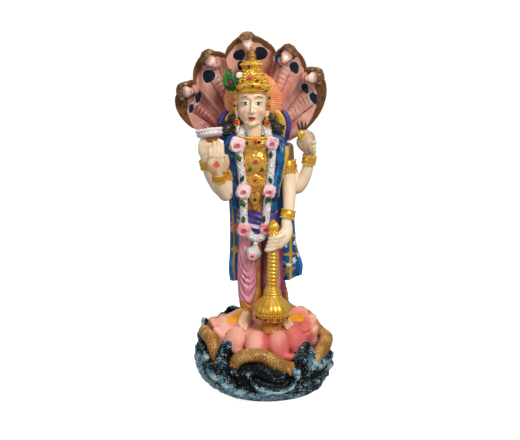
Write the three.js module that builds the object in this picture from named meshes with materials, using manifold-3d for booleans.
// A painted cast-resin figurine: Vishnu stands on an open lotus, under a five-headed serpent hood,
// with a mace, a discus and a conch. The serpent's body coils round the lotus, on a base of waves.
// Figure, serpent, lotus and base are one casting, flat underneath.
// Millimetres, +Z up. The figure faces -Y. The origin is the middle of the flat underside.
import * as THREE from "three";
import { mergeVertices } from "three/addons/utils/BufferGeometryUtils.js";
import Module from "manifold-3d";

const wasm = await Module();
wasm.setup();

// The wave base
const BASE_RADIUS = 42.5;
const BASE_HEIGHT = 28;
const WAVE_CREST = 8.5;

// The lotus, which is seated in the base
const LOTUS_RADIUS = 35;
const LOTUS_SINK = 4;
const LOTUS_HEIGHT = 12;
const PETAL_COUNT = 13;
const PETAL_SWELL = 3.4;

// The serpent's coil
const COIL_RADIUS = 3.9;
const COIL_RISE = 4.2;

// The figure, from its soles to the knob of its crown. It is drawn at 160 mm and scaled to this.
const FIGURE_HEIGHT = 160;
const DRAWN_HEIGHT = 160;
const ROBE_FOLD = 1.2;
const CAPE_FOLD = 1.3;
const HOOD_THICKNESS = 3.4;

const UNDERSIDE_CUT = 10;
const TAU = Math.PI * 2;
const DEG = Math.PI / 180;
const FRONT = -90 * DEG;

const lotusTop = BASE_HEIGHT + LOTUS_HEIGHT;
const scale = FIGURE_HEIGHT / DRAWN_HEIGHT;
const { lerp, smoothstep } = THREE.MathUtils;

// A point of the figure, from the middle of the lotus's top, where its soles are
const at = (x, y, z) => new THREE.Vector3(x * scale, y * scale, lotusTop + z * scale);

// A curve of the figure through a few [x, y, z] spots
const through = (spots) => spots.map((spot) => at(...spot));

// Sizes of the figure
const size = (...drawn) => drawn.map((length) => length * scale);

// Reads a value between the rows of a short profile: each row is [key, value, value, ...]
function along(profile, key, column = 1) {
  const last = profile.length - 1;
  if (key <= profile[0][0]) return profile[0][column];
  if (key >= profile[last][0]) return profile[last][column];
  const i = profile.findIndex((row) => row[0] > key);
  const before = profile[i - 1];
  const after = profile[i];
  return lerp(before[column], after[column], smoothstep(key, before[0], after[0]));
}

// Turns a closed three.js geometry into a solid whose faces point out
function solidOf(geometry) {
  const bare = geometry.clone();
  for (const name of ["normal", "uv"]) bare.deleteAttribute(name);
  const merged = mergeVertices(bare, 1e-4);
  const corners = merged.index.array;
  const kept = [];
  for (let i = 0; i < corners.length; i += 3) {
    const [a, b, c] = [corners[i], corners[i + 1], corners[i + 2]];
    if (a !== b && b !== c && c !== a) kept.push([a, b, c]);
  }
  const make = (triangles) =>
    new wasm.Manifold(
      new wasm.Mesh({
        numProp: 3,
        vertProperties: new Float32Array(merged.attributes.position.array),
        triVerts: new Uint32Array(triangles.flat()),
      }),
    );
  const solid = make(kept);
  return solid.volume() < 0 ? make(kept.map(([a, b, c]) => [a, c, b])) : solid;
}

// A closed skin over rings of points: pointAt(u, v) with u from end to end and v round the ring
function skin(rows, sides, pointAt, tips = []) {
  const points = [];
  const faces = [];
  for (let i = 0; i <= rows; i++)
    for (let j = 0; j < sides; j++) points.push(pointAt(i / rows, j / sides));
  const middle = (first) => {
    const sum = new THREE.Vector3();
    for (let j = 0; j < sides; j++) sum.add(points[first + j]);
    return sum.divideScalar(sides);
  };
  const [low, high] = [points.length, points.length + 1];
  const lastRing = rows * sides;
  points.push(tips[0] ?? middle(0), tips[1] ?? middle(lastRing));
  for (let j = 0; j < sides; j++) {
    const next = (j + 1) % sides;
    for (let i = 0; i < rows; i++) {
      const [a, b] = [i * sides + j, i * sides + next];
      faces.push(a, b, a + sides, b, b + sides, a + sides);
    }
    faces.push(low, next, j, high, lastRing + j, lastRing + next);
  }
  const geometry = new THREE.BufferGeometry().setFromPoints(points);
  geometry.setIndex(faces);
  return solidOf(geometry);
}

// A round limb along a curve. Each station is [share of the length, radius across, radius deep].
function limb(points, stations, sides = 6, round = 0.6) {
  const curve = new THREE.CatmullRomCurve3(points, false, "centripetal");
  const fine = 400;
  curve.arcLengthDivisions = fine;
  const frames = curve.computeFrenetFrames(fine);
  const rings = stations.map(([share, across, deep = across]) => {
    const i = Math.round(share * fine);
    return {
      spot: curve.getPointAt(i / fine),
      across: frames.normals[i].clone().multiplyScalar(across),
      deep: frames.binormals[i].clone().multiplyScalar(deep),
      reach: frames.tangents[i].clone().multiplyScalar(round * across),
    };
  });
  const last = rings.length - 1;
  const pointAt = (u, v) => {
    const { spot, across, deep } = rings[Math.round(u * last)];
    return spot
      .clone()
      .addScaledVector(across, Math.cos(v * TAU))
      .addScaledVector(deep, Math.sin(v * TAU));
  };
  const tips = [
    rings[0].spot.clone().sub(rings[0].reach),
    rings[last].spot.clone().add(rings[last].reach),
  ];
  return skin(last, sides, pointAt, tips);
}

// Even stations for a limb of the figure, from radii or [across, deep] pairs
function evenly(radii, rows = radii.length - 1) {
  const pairs = radii.map((radius) => [radius, radius].flat());
  const sizes = pairs.map((pair, i) => [i / (pairs.length - 1), pair[0], pair[1]]);
  return Array.from({ length: rows + 1 }, (_, i) => {
    const share = i / rows;
    return [share, ...size(along(sizes, share), along(sizes, share, 2))];
  });
}

// An ellipsoid, turned by degrees about X, Y and Z
function blob(centre, radii, turn = [0, 0, 0], [sides, rows] = [6, 4]) {
  const geometry = new THREE.SphereGeometry(1, sides, rows).rotateX(90 * DEG);
  const turned = new THREE.Euler(...turn.map((degrees) => degrees * DEG));
  const place = new THREE.Matrix4().compose(
    centre,
    new THREE.Quaternion().setFromEuler(turned),
    new THREE.Vector3(...radii),
  );
  return solidOf(geometry.applyMatrix4(place));
}

// A turned form about an axis from foot to head: profile rows are [height, radius]
function turned(foot, head, profile, sides) {
  const axis = head.clone().sub(foot).normalize();
  const closed = [[profile[0][0], 0], ...profile, [profile[profile.length - 1][0], 0]];
  const outline = closed.map(([height, radius]) => new THREE.Vector2(radius, height));
  const quaternion = new THREE.Quaternion().setFromUnitVectors(new THREE.Vector3(0, 1, 0), axis);
  const geometry = new THREE.LatheGeometry(outline, sides);
  return solidOf(geometry.applyQuaternion(quaternion).translate(...foot.toArray()));
}

// Where the serpent's coil humps over the rim, in degrees, with the height of the wave crest that
// stands between each hump and the next as a share of the full height
const HUMPS = [
  [-90, 1],
  [-7, 0.15],
  [45, 0.8],
  [104, 1.5],
  [148, 1.4],
  [187, 1],
  [270, 1],
];

// For an angle in degrees: 1 on a hump and -1 on a crest, and the height share of the nearest crest
function coilAt(degrees) {
  const angle = ((((degrees + 90) % 360) + 360) % 360) - 90;
  const i = HUMPS.findIndex(([hump]) => hump > angle);
  const [[from, crest], [to]] = [HUMPS[i - 1], HUMPS[i]];
  return { hump: Math.cos((TAU * (angle - from)) / (to - from)), crest };
}

// The wave base: a swelling mound whose rim rises in crests
function waveBase() {
  // Share of the radius, share of the height, share of the crest
  const profile = [
    [0, 0.88, 0, 0],
    [0.18, 0.98, 0.2, 0],
    [0.4, 1.02, 0.5, 0.1],
    [0.65, 0.99, 0.86, 0.5],
    [0.82, 0.93, 1.05, 1],
    [0.92, 0.82, 0.96, 0.4],
    [1, 0.5, 0.85, 0],
  ];
  const pointAt = (u, v) => {
    const angle = v * TAU;
    const { hump, crest } = coilAt(angle / DEG);
    const rise = WAVE_CREST * crest * ((1 - hump) / 2) ** 2.5;
    const lean = 0.008 * Math.cos(angle) * Math.sin(Math.PI * u);
    const bulge = 1 + 0.014 * Math.sin(3 * angle + 2.2) - lean;
    const worn = 0.08 * Math.max(0, Math.cos(angle + 135 * DEG)) * (1 - smoothstep(u, 0, 0.4));
    const swirl = 0.022 * Math.sin(9 * angle + 7 * u) * smoothstep(u, 0, 0.2);
    const radius = BASE_RADIUS * along(profile, u) * (bulge - worn + swirl);
    const height = BASE_HEIGHT * along(profile, u, 2) + rise * along(profile, u, 3);
    return new THREE.Vector3(radius * Math.cos(angle), radius * Math.sin(angle), height);
  };
  return skin(7, 32, pointAt);
}

// The lotus: a floor inside two rings of plump petals, the inner ring set between the outer ones
function lotus() {
  const columnsPerPetal = 4;
  // Share of the radius, share of the height above the base, share of the swell, which ring
  const profile = [
    [0.8, -LOTUS_SINK / LOTUS_HEIGHT, 0, 0],
    [0.96, -0.1, 0.6, 0],
    [0.97, 0.12, 1, 0],
    [0.91, 0.24, 0.2, 0],
    [0.88, 0.4, 0.9, 1],
    [0.8, 0.78, 1, 1],
    [0.68, 1.02, 0.9, 1],
    [0.57, 1, 0, 1],
  ];
  const last = profile.length - 1;
  const pointAt = (u, v) => {
    const [share, lift, swell, ring] = profile[Math.round(u * last)];
    const angle = v * TAU;
    const petal = Math.abs(Math.cos((PETAL_COUNT * (angle - FRONT)) / 2 + (ring * Math.PI) / 2));
    const radius = LOTUS_RADIUS * share + PETAL_SWELL * swell * petal;
    const height = BASE_HEIGHT + LOTUS_HEIGHT * lift + 0.5 * PETAL_SWELL * swell * petal;
    return new THREE.Vector3(radius * Math.cos(angle), radius * Math.sin(angle), height);
  };
  return skin(last, columnsPerPetal * PETAL_COUNT, pointAt);
}

// The serpent's body comes down behind the figure, then goes once round the lotus over its humps
function serpentBody() {
  const trunk = limb(
    through([
      [-6.5, 13, 106],
      [-5, 15, 82],
      [-1, 15.5, 58],
      [4, 14, 34],
      [7.6, 13, 14],
      [11, 18, 2],
      [24, 26, -8],
    ]),
    evenly([[9.4, 8], [9, 7.6], [8, 7], [6.6, 6], [5, 5], [4.4, 4.4], [4, 4]]),
    7,
  );
  const reach = LOTUS_RADIUS + COIL_RADIUS * 0.6;
  const steps = 32;
  const points = [];
  const stations = [];
  for (let i = 0; i <= steps; i++) {
    const degrees = lerp(50, -262, i / steps);
    const angle = degrees * DEG;
    const height = BASE_HEIGHT + 0.2 * COIL_RADIUS + COIL_RISE * coilAt(degrees).hump;
    points.push(new THREE.Vector3(reach * Math.cos(angle), reach * Math.sin(angle), height));
    stations.push([i / steps, COIL_RADIUS * lerp(1.05, 0.7, (i / steps) ** 3)]);
  }
  return [trunk, limb(points, stations, 6)];
}

// The hood spreads from behind the neck. Its rim runs from notch to tip to notch: [x, z] of each,
// and how far back each tip is.
const HOOD_ROOT = [-6.5, 102];
const HOOD_NOTCHES = [
  [-43.4, 120.2],
  [-42.4, 149],
  [-23.8, 164.8],
  [6.6, 164.6],
  [25.8, 156],
  [15.4, 111.2],
];
const HOOD_TIPS = [
  [-50.2, 142, 4],
  [-34, 163.8, 5],
  [-11, 172.6, 6],
  [16.4, 165.6, 5],
  [33.4, 151, 4],
];

// A sheet with a front and a back, from front and back points over a grid
function sheet(rows, columns, frontAt, backAt) {
  const points = [];
  for (const pointAt of [frontAt, backAt])
    for (let i = 0; i <= rows; i++)
      for (let j = 0; j <= columns; j++) points.push(pointAt(i / rows, j / columns));
  const width = columns + 1;
  const back = width * (rows + 1);
  const faces = [];
  for (let i = 0; i < rows; i++)
    for (let j = 0; j < columns; j++) {
      const [a, b] = [i * width + j, i * width + j + 1];
      const [c, d] = [a + width, b + width];
      faces.push(a, b, c, b, d, c, back + a, back + c, back + b, back + b, back + c, back + d);
    }
  const wall = (a, b) => faces.push(a, back + a, b, b, back + a, back + b);
  for (let j = 0; j < columns; j++) {
    wall(j, j + 1);
    wall(rows * width + j + 1, rows * width + j);
  }
  for (let i = 0; i < rows; i++) {
    wall((i + 1) * width, i * width);
    wall(i * width + columns, (i + 1) * width + columns);
  }
  const geometry = new THREE.BufferGeometry().setFromPoints(points);
  geometry.setIndex(faces);
  return solidOf(geometry);
}

// Five lobes side by side, each hollow like a spoon, with a raised throat down its middle
function hood() {
  const polar = ([x, z]) => {
    const [across, lift] = [x - HOOD_ROOT[0], z - HOOD_ROOT[1]];
    return { angle: Math.atan2(across, lift), reach: Math.hypot(across, lift) };
  };
  const columnsPerLobe = 6;
  const spotAt = (u, v) => {
    const lobe = Math.min(HOOD_TIPS.length - 1, Math.floor(v * HOOD_TIPS.length + 1e-6));
    const side = 2 * (v * HOOD_TIPS.length - lobe) - 1;
    const tip = polar(HOOD_TIPS[lobe]);
    const notch = polar(HOOD_NOTCHES[side < 0 ? lobe : lobe + 1]);
    const rise = Math.sin((1 - Math.abs(side)) * 90 * DEG) ** 0.65;
    const angle = lerp(tip.angle, notch.angle, Math.abs(side));
    const reach = lerp(notch.reach, tip.reach, rise) * lerp(0.3, 1, u);
    const bow = 5 * Math.sin(Math.PI * u) - 3.5 * u;
    return {
      x: HOOD_ROOT[0] + reach * Math.sin(angle),
      y: 9.5 + bow - 4.2 * side ** 4 * Math.sin(Math.PI * 0.8 * u),
      z: HOOD_ROOT[1] + reach * Math.cos(angle),
      throat: 2 * Math.max(0, 1 - 2.4 * Math.abs(side)) * Math.sin(Math.PI * Math.min(1, 0.3 + 0.7 * u)),
    };
  };
  const frontAt = (u, v) => {
    const { x, y, z, throat } = spotAt(u, v);
    return at(x, y - throat, z);
  };
  const backAt = (u, v) => {
    const { x, y, z } = spotAt(u, v);
    return at(x, y + HOOD_THICKNESS, z);
  };
  return sheet(3, columnsPerLobe * HOOD_TIPS.length, frontAt, backAt);
}

// A head bends forward over the tip of its lobe and ends in a blunt snout
function hoodHead([x, z, y]) {
  const root = new THREE.Vector3(HOOD_ROOT[0], 0, HOOD_ROOT[1]);
  const out = new THREE.Vector3(x, 0, z).sub(root).normalize();
  const spots = [
    [-9, 6],
    [-2.5, 3.5],
    [-0.5, -2.5],
    [-5, -7],
  ].map(([lift, forward]) => at(x + out.x * lift, y + forward, z + out.z * lift));
  return limb(spots, evenly([[5, 5.6], [5.6, 6.6], [4.4, 5.8], [2.6, 3.6]]), 7, 0.5);
}

// The halo behind the head: a flat disc with a ridged rim
function halo() {
  const ridges = 20;
  const rings = [
    [0.5, 6.6],
    [1, 7.4],
    [0.96, 13],
  ];
  const pointAt = (u, v) => {
    const [share, deep] = rings[Math.round(u * 2)];
    const radius = (Math.round(v * ridges) % 2 ? 16.6 : 17.4) * share;
    const angle = v * TAU;
    return at(-6.9 + radius * Math.cos(angle), deep, 136.4 + radius * Math.sin(angle));
  };
  return skin(2, ridges, pointAt);
}

// The rim that frames the hair under the halo, one half each side
function collar() {
  const arc = [[15.6, 131.5], [18.6, 126.5], [20, 121], [18.6, 111]];
  return [-1, 1].map((side) => {
    const spots = arc.map(([across, z]) => at(-5.8 + side * across, 8, z));
    return limb(spots, evenly([2.2, 2.8, 2.8, 2.4]), 5);
  });
}

function head() {
  const pointAt = (u, v) => {
    const lift = lerp(-72, 72, u) * DEG;
    const turn = v * TAU;
    const across = 8.8 * Math.cos(lift) * lerp(0.74, 1, smoothstep(u, 0, 0.5));
    const deep = 9.6 * Math.cos(lift) * lerp(0.86, 1, smoothstep(u, 0, 0.45));
    return at(-7.4 + across * Math.cos(turn), -2 + deep * Math.sin(turn), 136.5 + 12 * Math.sin(lift));
  };
  const skull = skin(6, 12, pointAt, [at(-7.4, -4, 124), at(-7.4, -2, 149)]);
  const nape = [[-6.2, 2, 110], [-6.6, 1, 118], [-7.2, 0, 128]];
  const neck = limb(through(nape), evenly([6.2, 5.2, 5.4]), 8);
  const bridge = [[-7.4, -10.6, 139], [-7.4, -12.2, 134.6], [-7.4, -11.6, 133]];
  const nose = limb(through(bridge), evenly([0.9, 1.5], 1), 5);
  const lips = blob(at(-7.4, -9.8, 129.4), size(2.6, 1.7, 1.3));
  const ears = [-1, 1].map((side) => blob(at(-7.4 + 9 * side, -1.5, 129.5), size(1.9, 2.4, 7.5)));
  return [skull, neck, nose, lips, ...ears];
}

// The crown: a jewelled band, a stepped dome and a finial, with a rosette and a feather in front
function crown() {
  const profile = [
    [0, 9.6],
    [2.4, 10.6],
    [5.4, 8.3],
    [9.5, 7.6],
    [12, 5.6],
    [14.5, 6.2],
    [18, 3.4],
    [22.5, 1.4],
  ].map((row) => size(...row));
  const cap = turned(at(-7.4, 0.6, 143), at(-7.7, 2.4, 160), profile, 9);
  const rosette = blob(at(-8.3, -7.4, 152), size(4.4, 2.6, 4.4));
  const lobes = [-1, 1].map((side) => blob(at(-7.8 + 5 * side, -1.6, 157), size(3, 3.4, 2.6)));
  const feather = blob(at(-19.8, -4, 149), size(6.2, 2.6, 6.8), [0, -22, 0]);
  const arc = [[10.2, -3, 133], [10, -4.4, 141], [6.4, -9, 145.6], [0, -10.8, 147.2]];
  const halfBand = (side) => arc.map(([across, y, z]) => at(-7.4 + side * across, y, z));
  const band = [...halfBand(-1), ...halfBand(1).reverse().slice(1)];
  return [cap, rosette, ...lobes, feather, limb(band, evenly([1.5, 1.9, 1.5], 6), 4)];
}

// Curls of hair on the shoulders: centre and half sizes
const CURLS = [
  [-22.2, -0.5, 121, 5.6, 6, 6.2],
  [-18.6, 1, 127, 3.4, 4.6, 4],
  [8.2, -0.5, 121.4, 4.4, 5.6, 5.4],
  [3.6, 1, 127, 2.8, 4.6, 4],
];
const hair = () => CURLS.map(([x, y, z, ...half]) => blob(at(x, y, z), size(...half)));

function torso() {
  // Height, middle, half width, half depth
  const profile = [
    [56, -2.7, 14.5, 9.5],
    [66, -3.7, 13.5, 9],
    [75, -4.7, 11.5, 8],
    [90, -5.2, 14, 9],
    [104, -5.5, 17.5, 9.5],
    [109.5, -5.7, 14, 8.5],
    [115, -5.8, 7, 6],
  ];
  return skin(5, 9, (u, v) => {
    const z = lerp(56, 115, u);
    const x = along(profile, z) + along(profile, z, 2) * Math.cos(v * TAU);
    return at(x, 1.5 + along(profile, z, 3) * Math.sin(v * TAU), z);
  });
}

// A draped leg with folds that hang in swags across its front. Centre rows are [height, x, y].
function drapedLeg(centre, width, swags, side, [rows, sides]) {
  const [hemZ, waistZ] = [centre[0][0], centre[centre.length - 1][0]];
  const fold = ROBE_FOLD / 2 / scale;
  return skin(rows, sides, (u, v) => {
    const z = lerp(hemZ, waistZ, u);
    const turn = v * TAU;
    const facing = Math.cos(turn - FRONT - side * 0.5);
    const swag = Math.sin(TAU * (swags * u + 0.45 * facing)) * smoothstep(facing, -0.4, 0.5);
    const reach = along(width, z) + fold * swag;
    const [x, y] = [along(centre, z), along(centre, z, 2)];
    return at(x + reach * Math.cos(turn), y + reach * Math.sin(turn), z);
  });
}

function robe() {
  const right = drapedLeg(
    [[9, -9.6, -3.5], [25, -9.3, -2], [45, -8.2, -1], [62, -6.5, 0.5]],
    [[9, 5], [16, 6.4], [25, 7.2], [45, 7.8], [62, 8.5]],
    3.5,
    -1,
    [13, 10],
  );
  const left = drapedLeg(
    [[9, 7, -1.5], [30, 4, -1], [62, 4, 1]],
    [[9, 8.2], [30, 7.4], [62, 8.5]],
    2,
    1,
    [6, 8],
  );
  const pleat = limb(
    through([[-3.6, -7.6, 58], [-3.6, -8.4, 36], [-3.8, -7.6, 18], [-5.4, -8, 10]]),
    evenly([[2, 1.8], [1.8, 1.6], [1.8, 1.6], [3, 2]]),
    5,
  );
  const sash = skin(2, 10, (u, v) => {
    const z = lerp(53, 69, u);
    const swell = u === 0.5 ? 1.12 : 1;
    const [across, deep] = [Math.cos(v * TAU), Math.sin(v * TAU)];
    return at(-2.9 + 12.4 * swell * across, 1 + 9.4 * swell * deep, z - 2 * across);
  });
  return [right, left, pleat, sash];
}

// The cape hangs down the back from the shoulders, open in front and folded at its hem
function cape() {
  // Height, middle, half width, half depth
  const profile = [
    [27, 1, 20.8, 12.4],
    [33, 1, 21.4, 12.4],
    [45, -0.4, 19.6, 12],
    [62, -1.2, 19, 11.5],
    [85, -3, 19, 11],
    [102, -4.8, 18.6, 10],
    [110, -5.4, 16, 8],
    [116, -5.6, 9, 5],
  ];
  const backShare = 0.7;
  const fold = CAPE_FOLD / scale;
  // The hem rises towards the figure's left
  const lift = (side) => 3.6 * Math.max(0, side) ** 3 - 2;
  return skin(6, 20, (u, v) => {
    const z = lerp(27, 116, u);
    const middle = along(profile, z);
    const halfWidth = along(profile, z, 2);
    const hang = 1 - smoothstep(u, 0, 0.8);
    if (v > backShare) {
      const share = (v - backShare) / (1 - backShare);
      const side = 1 - 2 * share;
      const ripple = fold * Math.sin(share * Math.PI * 5) * hang;
      return at(middle + halfWidth * side, -0.6 + ripple, z + lift(side) * hang);
    }
    const turn = (v / backShare) * Math.PI;
    const ripple = 1 + (fold / 10) * Math.sin(turn * 7) * hang;
    const x = middle - halfWidth * Math.cos(turn) * ripple;
    return at(x, along(profile, z, 3) * Math.sin(turn) * ripple, z + lift(-Math.cos(turn)) * hang);
  });
}

// The cape's front edges over the shoulders and down the chest
function lapels() {
  const edges = [
    [[-12, -1, 116], [-20.6, -3.6, 111], [-19.6, -7.4, 100], [-17.8, -7.4, 88], [-17.4, -5, 74]],
    [[2, -1, 117], [10, -3.6, 112.6], [9.8, -7.4, 100], [8, -7.4, 88], [8.4, -5, 72]],
  ];
  const stations = evenly([[3.4, 3.4], [5, 4.2], [4.4, 3.4], [3.8, 2.8], [3.2, 2.4]]);
  return edges.map((spots) => limb(through(spots), stations, 5));
}

// The four arms: shoulder, elbow, forearm and wrist, and where bands go round them, in shares
const ARMS = {
  frontRight: [[[-19, 0, 107], [-23, -4, 81.2], [-26.2, -11, 88], [-26.8, -16, 98]], [0.28, 0.92]],
  backRight: [[[-18, 5, 106], [-25.4, 3, 81.8], [-32.6, 2, 91.5], [-35.8, 0, 104]], [0.89]],
  frontLeft: [[[13, 1, 109], [14.8, -3, 86], [14.6, -8, 74], [13, -11, 65]], [0.25, 0.88]],
  backLeft: [[[12, 5, 105], [19.4, 3, 83.8], [24.8, 1.5, 92], [27.4, 0, 104.5]], [0.93]],
};

function arms() {
  const flesh = [[0, 4.4], [0.3, 4.2], [0.55, 4.2], [0.75, 3.6], [1, 2.9]];
  return Object.values(ARMS).map(([[shoulder, elbow, forearm, wrist], bands]) => {
    const upper = shoulder.map((value, i) => lerp(value, elbow[i], 0.6));
    const points = [shoulder, upper, elbow, forearm, wrist].map((spot) => at(...spot));
    const bare = [0, 0.14, 0.42, 0.54, 0.66, 1].map((share) => [share, along(flesh, share)]);
    const ringed = bands.flatMap((share) => {
      const radius = along(flesh, share);
      return [[share - 0.05, radius], [share, radius + 1.4], [share + 0.05, radius]];
    });
    const stations = [...bare, ...ringed].sort((a, b) => a[0] - b[0]);
    return limb(points, stations.map(([share, radius]) => [share, radius * scale]), 6);
  });
}

// A finger through a few points
const finger = (spots) => limb(through(spots), evenly([1.6, 1.5, 1.2]), 5, 0.8);

// The raised right hand, its palm to the front and its fingers together
function blessingHand() {
  const palm = blob(at(-28, -18, 104.5), size(6, 2.8, 7.4), [8, 0, 0], [7, 4]);
  const fingers = [
    [-32, 111.6],
    [-29.4, 115.4],
    [-26.8, 116],
    [-24.4, 113.6],
  ].map(([x, tipZ]) => finger([[x + 0.2, -18, 105], [x, -18, 109], [0.8 * x - 5.6, -17.6, tipZ]]));
  const thumb = finger([[-24, -18.4, 101], [-22.4, -18.8, 105], [-22, -18.6, 108.6]]);
  return [palm, ...fingers, thumb];
}

// The back right hand, which carries the discus on its fingers
function discusHand() {
  const palm = blob(at(-36.4, -0.5, 107.4), size(3.2, 2.8, 5.4));
  const fingers = [-38, -35.8, -33.6].map((x) =>
    finger([[x, -1.4, 108], [x, -2, 111.6], [x + 1, -1.6, 115]]),
  );
  const profile = [
    [0, 3],
    [3, 5],
    [3.6, 7.8],
    [6.6, 8.2],
    [7, 5],
  ].map((row) => size(...row));
  return [palm, ...fingers, turned(at(-31.6, -1, 112.4), at(-32.4, -1, 118), profile, 10)];
}

// The back left hand, closed round a conch whose spire points in towards the hood
function conchHand() {
  const fist = blob(at(27.4, -0.4, 108), size(3.4, 3.6, 5.2));
  const swell = [[0, 1], [0.25, 4], [0.5, 5.6], [0.7, 4.8], [0.82, 2.6], [1, 0.9]];
  const shell = skin(6, 8, (u, v) => {
    const turn = v * TAU;
    const radius = along(swell, u) * (1 + 0.07 * Math.sin(turn + 4 * TAU * u));
    const [x, z] = [lerp(27.8, 22.6, u), lerp(104, 121, u)];
    const across = radius * Math.cos(turn);
    return at(x + 0.94 * across, -1 + radius * Math.sin(turn), z + 0.35 * across);
  });
  const fingers = [109, 113].map((z) =>
    finger([[30.4, -1.6, z], [28, -5.6, z + 1], [25, -5.6, z + 1.4]]),
  );
  return [fist, shell, ...fingers];
}

// The mace stands on the lotus in front of the left foot
function mace() {
  const profile = [
    [0, 6.2],
    [7.5, 7],
    [10, 9],
    [14.8, 11.3],
    [19.6, 9],
    [22.5, 4.6],
    [27.5, 4.3],
    [29.5, 3.2],
    [65, 3.1],
  ].map((row) => size(...row));
  const knob = blob(at(5.3, -16, 64.8), size(3.4, 3.4, 3.9));
  return [turned(at(4.4, -20, -1), at(5.3, -16, 64.8), profile, 11), knob];
}

// The left hand lies over the grip of the mace
function maceHand() {
  const back = limb(
    through([[13, -11, 66], [13.2, -15, 60.5], [8.6, -19.4, 55.4], [3.4, -20, 51.8]]),
    evenly([[3, 3], [4.4, 3.6], [4.8, 3.4], [3.6, 2.8]]),
    7,
  );
  const fingers = [0, 1, 2].map((i) => {
    const [x, z] = [6 - 2.2 * i, 57.4 - 2.6 * i];
    return finger([[x + 1, -20.4, z - 0.6], [x - 3.4, -20.2, z - 2.2], [x - 4.6, -17.4, z - 3]]);
  });
  return [back, ...fingers];
}

// The flower garland: a strand down each side, roses along it, and a pendant where the strands meet
const STRANDS = [
  [
    [-12.8, 0, 121],
    [-15.4, -8, 112],
    [-14, -9.4, 98],
    [-12.6, -9, 84],
    [-12.2, -9.4, 66],
    [-8.5, -11, 57.6],
    [-4, -11.4, 55.4],
  ],
  [
    [0.4, 0, 121],
    [4, -8, 112],
    [4, -9.4, 99],
    [2.4, -9, 84],
    [0.6, -9.4, 66],
    [-0.6, -11, 58],
    [-4, -11.4, 55.4],
  ],
];
const ROSES = [
  [-16, -10, 112.4, 4.4],
  [4.4, -9.4, 113.4, 3.7],
  [-12.4, -10.6, 84.6, 4.2],
  [2.8, -10.6, 84.6, 3.7],
  [-12.3, -11, 61, 4],
  [0.8, -11, 61.6, 3.5],
];

function garland() {
  const strands = STRANDS.map((spots) => limb(through(spots), evenly([2.2, 2.2], 6), 5));
  const roses = ROSES.map(([x, y, z, r]) => blob(at(x, y, z), size(r, 0.7 * r, r)));
  const drop = [[-4.6, -10.6, 55], [-5, -9.6, 49], [-5.6, -9.4, 43.5]];
  const pendant = limb(through(drop), evenly([[1.4, 1.4], [4, 2.6]], 2), 6);
  return [...strands, ...roses, pendant];
}

// The chest ornaments: a collar plate and tiers of bosses down to the belt
function ornaments() {
  // Height, how far forward, half width, half depth, half height
  const plates = [
    [112.4, -5.6, 7.4, 3.4, 4],
    [101, -7.2, 7.4, 3.6, 7.2],
    [90.6, -7, 6.8, 3.4, 6],
    [80.6, -6.4, 3.8, 3.2, 7.4],
  ];
  return plates.map(([z, y, wide, deep, tall]) => blob(at(-5.2, y, z), size(wide, deep, tall)));
}

function feet() {
  return [
    [[-9.5, -4, 11], [-9.6, -9, 6.4], [-9.7, -15, 2.8], [-9.8, -19.4, 1.6]],
    [[9, -3, 11], [9.6, -8, 6.4], [11.2, -13, 2.8], [12.6, -17, 1.6]],
  ].map((spots) =>
    limb(through(spots), evenly([[3.8, 3.6], [3.8, 3.6], [3.6, 2.6], [3, 1.8]]), 6),
  );
}

function figurine() {
  const pieces = [
    waveBase(),
    lotus(),
    ...serpentBody(),
    hood(),
    ...HOOD_TIPS.map(hoodHead),
    halo(),
    ...collar(),
    ...head(),
    ...crown(),
    ...hair(),
    torso(),
    ...robe(),
    cape(),
    ...lapels(),
    ...arms(),
    ...blessingHand(),
    ...discusHand(),
    ...conchHand(),
    ...mace(),
    ...maceHand(),
    ...garland(),
    ...ornaments(),
    ...feet(),
  ];
  const below = new THREE.BoxGeometry(4 * BASE_RADIUS, 4 * BASE_RADIUS, UNDERSIDE_CUT);
  const joined = pieces
    .reduce((sum, piece) => sum.add(piece))
    .subtract(solidOf(below.translate(0, 0, -UNDERSIDE_CUT / 2)));
  // The resin fills every pocket that has no way out
  return joined
    .decompose()
    .filter((body) => body.volume() > 0)
    .reduce((sum, body) => sum.add(body));
}

function meshOf(name, solid, material) {
  const { vertProperties, triVerts, numProp } = solid.getMesh();
  const positions = new Float32Array((vertProperties.length / numProp) * 3);
  for (let i = 0; i < positions.length / 3; i++)
    for (let k = 0; k < 3; k++) positions[3 * i + k] = vertProperties[i * numProp + k];
  const geometry = new THREE.BufferGeometry();
  geometry.setAttribute("position", new THREE.BufferAttribute(positions, 3));
  geometry.setIndex(new THREE.BufferAttribute(new Uint32Array(triVerts), 1));
  geometry.computeVertexNormals();
  const mesh = new THREE.Mesh(geometry, material);
  mesh.name = name;
  return mesh;
}

const resin = new THREE.MeshStandardMaterial({ color: 0xd9a58f, roughness: 0.45, metalness: 0 });
const group = new THREE.Group();
group.add(meshOf("vishnu_figurine", figurine(), resin));

export default group;
